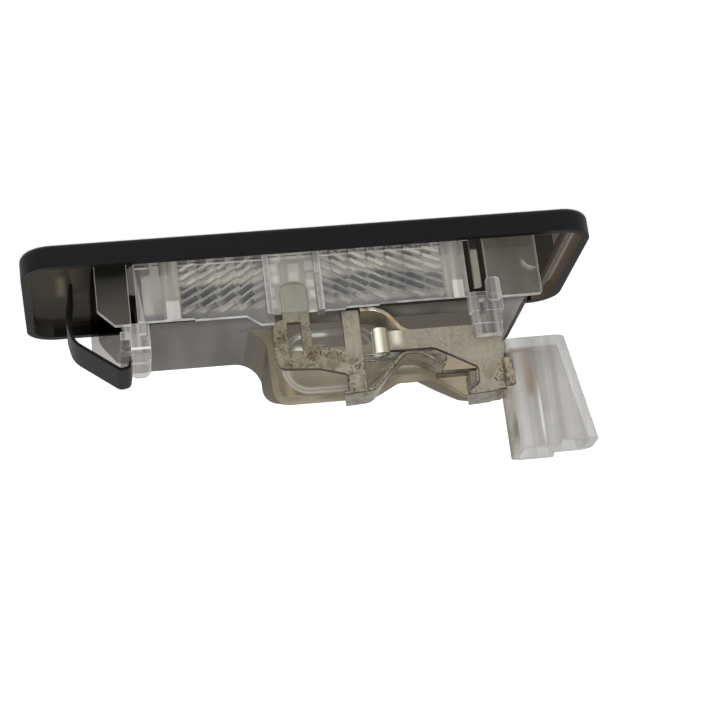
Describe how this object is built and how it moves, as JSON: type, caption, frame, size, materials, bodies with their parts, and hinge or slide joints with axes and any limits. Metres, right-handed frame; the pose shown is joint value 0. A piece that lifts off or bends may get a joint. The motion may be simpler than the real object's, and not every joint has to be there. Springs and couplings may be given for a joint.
{
  "type": "number plate lamp",
  "caption": "Vehicle number plate lamp: black bezel, clear prism lens, grey back shell with a wedge bulb in stamped contact strips, plug shroud and steel clip spring.",
  "frame": {"origin": "centre of the bezel's front face, which is the lowest plane of the part: the lens faces down and the back is up", "axes": "X runs along the lamp, +X towards the clip spring and -X towards the plug shroud; -Y is the side with the contact strips; +Z points away from the lens"},
  "size_m": [0.092, 0.034, 0.0372],
  "materials": {
    "black_bezel": "black satin moulded plastic with a faint grain",
    "clear_plastic": "clear polycarbonate with moulded prisms and bright edges",
    "smoke_plastic": "smoky grey translucent plastic, satin",
    "shroud_plastic": "thick clear plastic with a grey cast",
    "tinned_strip": "tin-plated strip, warm grey, stained brown in patches",
    "spring_steel": "dark blued spring steel",
    "bulb_glass": "clear blown glass, pressed flat at the base",
    "lead_wire": "plain drawn wire",
    "filament_wire": "grey coiled tungsten wire"
  },
  "bodies": {
    "root": {"bezel": "black_bezel", "prism_lens": "clear_plastic", "back_shell": "smoke_plastic", "contact_carrier": "shroud_plastic", "supply_contact": "tinned_strip", "return_contact": "tinned_strip", "clip_spring": "spring_steel", "bulb_glass": "bulb_glass", "bulb_lead_upper": "lead_wire", "bulb_lead_lower": "lead_wire", "bulb_filament": "filament_wire"}
  },
  "joints": []
}
